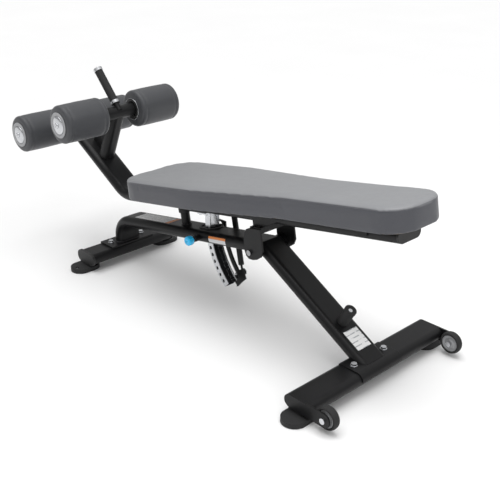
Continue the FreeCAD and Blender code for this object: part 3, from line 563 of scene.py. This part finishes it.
def pad_seams(shell):
    """Thin welt sewn in below the top edge."""
    snapped = []
    for s, y in resample(outline_loop(), PAD_MESH_SIZE):
        point = TO_WORLD @ Vector((s, y, PAD_HIGH.z - WELT_DROP))
        found, near, normal, _ = shell.closest_point_on_mesh(point)
        snapped.append(near + normal * 0.0001 if found else point)
    bead = tube_along("pad_welt", snapped, WELT_RADIUS, WELT, closed=True)
    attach(bead, "bench_top")


PAD = make_pad()
pad_seams(PAD)


# ---------------------------------------------------------------- rollers

ROLLER_R = 67.3
ROLLER_BORE = 24.6
SHOULDER = 13
END_FACE_R = 52
SEAM_FROM_END = 22
SEAM_DEPTH = 1


def quarter_round(steps=8):
    """Sine and cosine of evenly spaced angles from 0 to 90 degrees."""
    angles = [math.pi / 2 * index / steps for index in range(steps + 1)]
    return [(math.sin(angle), math.cos(angle)) for angle in angles]


def make_roller(name, joint):
    """Foam roller with soft shoulders and a sewn ring near each end."""
    low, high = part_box(name)
    centre = Vector(JOINTS[joint]["pos_m"])
    outward = 1 if centre.y > 0 else -1
    length = (high[1] - low[1]) / MM
    half = length / 2
    round_start = SHOULDER + 2
    seam = [(ROLLER_R - 0.2, SEAM_FROM_END - 2), (ROLLER_R - 0.2 - SEAM_DEPTH, SEAM_FROM_END),
            (ROLLER_R - 0.2, SEAM_FROM_END + 2)]
    profile = [(ROLLER_BORE, -half), (40, -half), (END_FACE_R, -half + 1.5)]
    for rise, run in quarter_round():
        profile.append((ROLLER_R - SHOULDER + SHOULDER * rise, -half + round_start - SHOULDER * run))
    profile += [(radius, from_end - half) for radius, from_end in seam]
    barrel = length - 2 * (SEAM_FROM_END + 2)
    for index in range(1, 12):
        share = index / 12
        height = SEAM_FROM_END + 2 + barrel * share - half
        profile.append((ROLLER_R + 0.5 * math.sin(math.pi * share), height))
    profile += [(radius, half - from_end) for radius, from_end in reversed(seam)]
    for rise, run in quarter_round():
        profile.append((ROLLER_R - SHOULDER + SHOULDER * run, half - round_start + SHOULDER * rise))
    profile += [(END_FACE_R, half - 1.5), (40, half), (ROLLER_BORE, half)]

    def ripple(angle, height):
        place = Vector((math.cos(angle) * 2.2, math.sin(angle) * 2.2, height * 0.03 + centre.x * 10))
        return noise.noise(place) * 0.5

    roller = lathe(f"foam_{name}", profile, centre, (0, outward, 0), ROLLER_VINYL, 128, ripple)
    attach(roller, f"{name}_body")
    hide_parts(name)


for roller_level in LEVELS:
    for roller_side in SIDES:
        make_roller(f"roller_{roller_level}_{roller_side}", f"roller_{roller_level}_{roller_side}_spin")


# Turned profiles of the small parts: (radius, height above the roller's end) in millimetres.
DISC_PROFILE = [(0.5, 0.0), (45, 0.0), (45.3, 0.8), (44.4, 1.9), (42, 2.6), (36, 2.4), (34.5, 1.2),
                (33, 0.8), (0.5, 0.8)]
DOME_PROFILE = [(0.5, 0.6), (32, 0.6), (32.5, 1.6), (30, 3.2), (23, 5.0), (15, 6.1), (8, 6.4), (0.5, 6.5)]
BOLT_PROFILE = [(0.5, 6.4), (9.5, 6.4), (9.8, 7.2), (8.6, 9.6), (5, 10.9), (0.5, 11.0)]
WASHER_PROFILE = [(24.2, 0.1), (38.5, 0.1), (38.5, 1.9), (24.2, 1.9)]
RIM_PROFILE = [(38.5, 0.0), (39.6, 0.1), (40, 1.0), (39.6, 1.9), (38.5, 2.0)]
OUTER_FACE_Y = 0.245
INNER_FACE_Y = 0.0685


def roller_hardware(parts, face_y, way):
    """Turned parts on one face of every roller; way is 1 for parts that face outward, -1 for inward."""
    pieces = []
    for roller_level in LEVELS:
        for side_name, side in SIDES.items():
            centre = Vector(JOINTS[f"roller_{roller_level}_{side_name}_spin"]["pos_m"])
            face = Vector((centre.x, side * face_y, centre.z))
            for kind, profile, material, segments in parts:
                name = f"{kind}_{roller_level}_{side_name}"
                pieces.append(lathe(name, profile, face, (0, way * side, 0), material, segments))
    for piece in pieces:
        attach(piece, "bench_top")
    return pieces


def roller_domes():
    """Grey discs with a bright dome and a centre bolt on the outer ends of the rollers."""
    parts = [("disc", DISC_PROFILE, GREY_PLASTIC, 96), ("disc_dome", DOME_PROFILE, STEEL, 96),
             ("disc_bolt", BOLT_PROFILE, STEEL, 48)]
    pieces = roller_hardware(parts, OUTER_FACE_Y, 1)
    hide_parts("roller_end_discs")
    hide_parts("roller_end_bolts")


def inner_rings():
    """Dark washers with a bright rim against the inner ends of the rollers."""
    pieces = roller_hardware([("roller_washer", WASHER_PROFILE, BLACK_PLASTIC, 96),
                              ("roller_rim", RIM_PROFILE, STEEL, 96)], INNER_FACE_Y, -1)
    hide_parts("roller_inner_rings")


roller_domes()
inner_rings()


# ---------------------------------------------------------------- wheels, knob, grip

TYRE_BORE = 26.6
TREAD_START = 31
TREAD_RISE = 4.6
WHEEL_HALF = 11


def make_wheel(side_name, side):
    """Solid tyre with a rounded tread on a dished grey hub."""
    centre = Vector(JOINTS[f"wheel_{side_name}_spin"]["pos_m"])
    tyre_profile = [(TYRE_BORE, -WHEEL_HALF), (TREAD_START, -WHEEL_HALF)]
    for index in range(13):
        angle = math.pi * index / 12
        tyre_profile.append((TREAD_START + TREAD_RISE * math.sin(angle), -WHEEL_HALF * math.cos(angle)))
    tyre_profile += [(TREAD_START, WHEEL_HALF), (TYRE_BORE, WHEEL_HALF)]
    tyre = lathe(f"tyre_{side_name}", tyre_profile, centre, (0, side, 0), RUBBER)
    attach(tyre, f"wheel_{side_name}")
    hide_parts(f"wheel_tyre_{side_name}")
    outer_half = [(5.1, 10.5), (11, 10.5), (12.5, 9.5), (13.5, 6), (21, 6), (22.5, 9), (26.5, 9.5)]
    inner_half = [(radius, -height) for radius, height in outer_half]
    hub = lathe(f"wheel_core_{side_name}", inner_half + outer_half[::-1], centre, (0, side, 0), GREY_PLASTIC)
    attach(hub, f"wheel_{side_name}")
    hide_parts(f"wheel_hub_{side_name}")


for wheel_side, outward in SIDES.items():
    make_wheel(wheel_side, outward)


def make_knob():
    """Round fluted knob of the pull pin."""
    low, high = local_corners("pin_knob")
    s, n = (low.x + high.x) / 2 / MM, (low.z + high.z) / 2 / MM
    outer_y = low.y / MM
    profile = [(0.5, 0), (9, 0.3), (13.5, 1.6), (16, 4.5), (16.4, 9), (16.2, 18), (15, 21.5), (11, 23),
               (10, 25.8), (5.1, 25.9)]

    def flutes(angle, height):
        inside = 1.0 if 3 < height < 21 else 0.0
        return -0.7 * inside * (0.5 + 0.5 * math.cos(angle * 12)) ** 2
    knob = lathe("pull_knob", profile, sloped(s, outer_y, n), (0, 1, 0), BLUE, 144, flutes)
    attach(knob, "pull_pin")
    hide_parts("pin_knob")


make_knob()


def make_grip():
    """Ribbed hand grip."""
    collar, cap = sloped(-721, 0, 447), sloped(-798, 0, 567)
    axis = (cap - collar).normalized()
    rib_steps = 104
    profile = [(11.1, 5), (14.2, 5)]
    for index in range(rib_steps):
        height = 7 + 122 * index / rib_steps
        profile.append((14.75 + 0.3 * math.sin(index * math.pi / 2), height))
    profile += [(14.2, 131.5), (11.1, 131.5)]
    grip = lathe("hand_grip", profile, collar, axis, RUBBER, 64)
    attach(grip, "bench_top")
    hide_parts("handle_grip")


make_grip()


# ---------------------------------------------------------------- decal on the beam

def beam_decal():
    """Two-colour warning film wrapped round the near side of the beam, without any print."""
    radius, middle_n, centre_y, steps = 20.25, 6, -30, 8
    films = (("decal_ground", -32, 9, DECAL_WHITE), ("decal_band", 9, 32, DECAL_ORANGE))
    for name, low, high, material in films:
        bm = bmesh.new()
        rows = []
        for index in range(steps + 1):
            angle = math.radians(low + (high - low) * index / steps)
            row = []
            for s, layer in ((-229, radius), (-145, radius), (-145, radius - 0.3), (-229, radius - 0.3)):
                row.append(bm.verts.new(sloped(s, centre_y - layer * math.cos(angle),
                                               middle_n + layer * math.sin(angle))))
            rows.append(row)
        for lower, upper in zip(rows, rows[1:]):
            for corner in range(4):
                after = (corner + 1) % 4
                bm.faces.new((lower[corner], lower[after], upper[after], upper[corner]))
        bm.faces.new(rows[0])
        bm.faces.new(rows[-1])
        bmesh.ops.recalc_face_normals(bm, faces=bm.faces)
        film = add_mesh(name, bm, material, smooth=False)
        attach(film, "base")


beam_decal()


# ---------------------------------------------------------------- welds

def oval_path(flat, radius, place, count=72):
    """Outline of a flat-oval tube in a plane: place maps (across, up) to a point."""
    total = 2 * flat + 2 * math.pi * radius
    points = []
    for index in range(count):
        run = total * index / count
        if run < flat:
            u, v = -flat / 2 + run, radius
        elif run < flat + math.pi * radius:
            angle = math.pi / 2 - (run - flat) / radius
            u, v = flat / 2 + radius * math.cos(angle), radius * math.sin(angle)
        elif run < 2 * flat + math.pi * radius:
            u, v = flat / 2 - (run - flat - math.pi * radius), -radius
        else:
            angle = -math.pi / 2 - (run - 2 * flat - math.pi * radius) / radius
            u, v = -flat / 2 + radius * math.cos(angle), radius * math.sin(angle)
        points.append(place(u, v))
    return points


def circle_path(radius, place, count=48):
    """Circle in a plane: place maps (across, up) to a point."""
    return [place(radius * math.cos(2 * math.pi * i / count), radius * math.sin(2 * math.pi * i / count))
            for i in range(count)]


def weld(name, points, body, radius=2.2):
    """Slightly ragged bead of weld along a closed path."""
    ragged = [point + Vector((0, 0, 1)) * noise.noise(point * 300) * 0.0004 for point in points]
    bead = tube_along(name, ragged, radius, WELD, closed=True)
    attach(bead, body)


weld("weld_riser", oval_path(60, 20.5, lambda u, v: level(-765 + v, u, 73.6)), "base")
weld("weld_post", circle_path(16.5, lambda u, v: sloped(-402 + u, v, 26.4)), "base")
for end in (-1, 1):
    weld(f"weld_cross_{end + 1}", circle_path(24.3, lambda u, v: sloped(-1016 + u, end * 50.5, 367 + v)),
         "bench_top", 1.8)


# ---------------------------------------------------------------- floor, lights, camera

def make_floor():
    """Wide pale floor at z = 0."""
    bm = bmesh.new()
    bmesh.ops.create_grid(bm, x_segments=1, y_segments=1, size=30)
    floor = add_mesh("studio_floor", bm, floor_paint(), smooth=False)


def area_light(name, position, target, size, power):
    """Square lamp of a given size in metres, aimed at a point."""
    light = bpy.data.lights.new(name, "AREA")
    light.shape = "RECTANGLE"
    light.size, light.size_y = size
    light.energy = power
    holder = bpy.data.objects.new(name, light)
    bpy.context.collection.objects.link(holder)
    holder.location = position
    holder.rotation_euler = (Vector(target) - Vector(position)).to_track_quat("-Z", "Y").to_euler()


def soft_overhead(strength, softness, toward):
    """Even light from above, wide enough that its shadows are soft."""
    light = bpy.data.lights.new("overhead", "SUN")
    light.energy = strength
    light.angle = softness
    holder = bpy.data.objects.new("overhead", light)
    bpy.context.collection.objects.link(holder)
    holder.rotation_euler = Vector(toward).to_track_quat("-Z", "Y").to_euler()


def make_world():
    """White room: brightest overhead and dimmer toward the horizon."""
    world = bpy.data.worlds.new("studio")
    bpy.context.scene.world = world
    world.use_nodes = True
    tree = world.node_tree
    background = tree.nodes["Background"]
    background.inputs["Color"].default_value = (1, 1, 1, 1)
    parts = tree.nodes.new("ShaderNodeSeparateXYZ")
    tree.links.new(tree.nodes.new("ShaderNodeTexCoord").outputs["Generated"], parts.inputs["Vector"])
    rise = tree.nodes.new("ShaderNodeMapRange")
    rise.inputs["To Min"].default_value = 0.28
    rise.inputs["To Max"].default_value = 0.95
    tree.links.new(parts.outputs["Z"], rise.inputs["Value"])
    tree.links.new(rise.outputs["Result"], background.inputs["Strength"])


def make_camera():
    """Camera that looks down along the bench from the wheels' end, over the near side."""
    camera = bpy.data.cameras.new("camera")
    camera.sensor_width = 36
    camera.lens = 61.12
    camera.clip_end = 100
    holder = bpy.data.objects.new("camera", camera)
    bpy.context.collection.objects.link(holder)
    holder.location = level(1737.2, -1723.3, 1389.0)
    forward = Vector((-0.6601, 0.6264, -0.4147)).normalized()
    holder.rotation_euler = forward.to_track_quat("-Z", "Y").to_euler()
    bpy.context.scene.camera = holder


make_floor()
make_world()
soft_overhead(1.35, 0.9, (0.12, 0.15, -1.0))
area_light("fill", (3.2, -1.4, 2.0), (0.0, 0.0, 0.3), (1.8, 1.8), 10)
area_light("head_end", (0.8, 0.1, 1.9), (0.75, 0.0, 0.5), (0.9, 0.9), 7)
make_camera()
bpy.context.scene.view_settings.view_transform = "Standard"
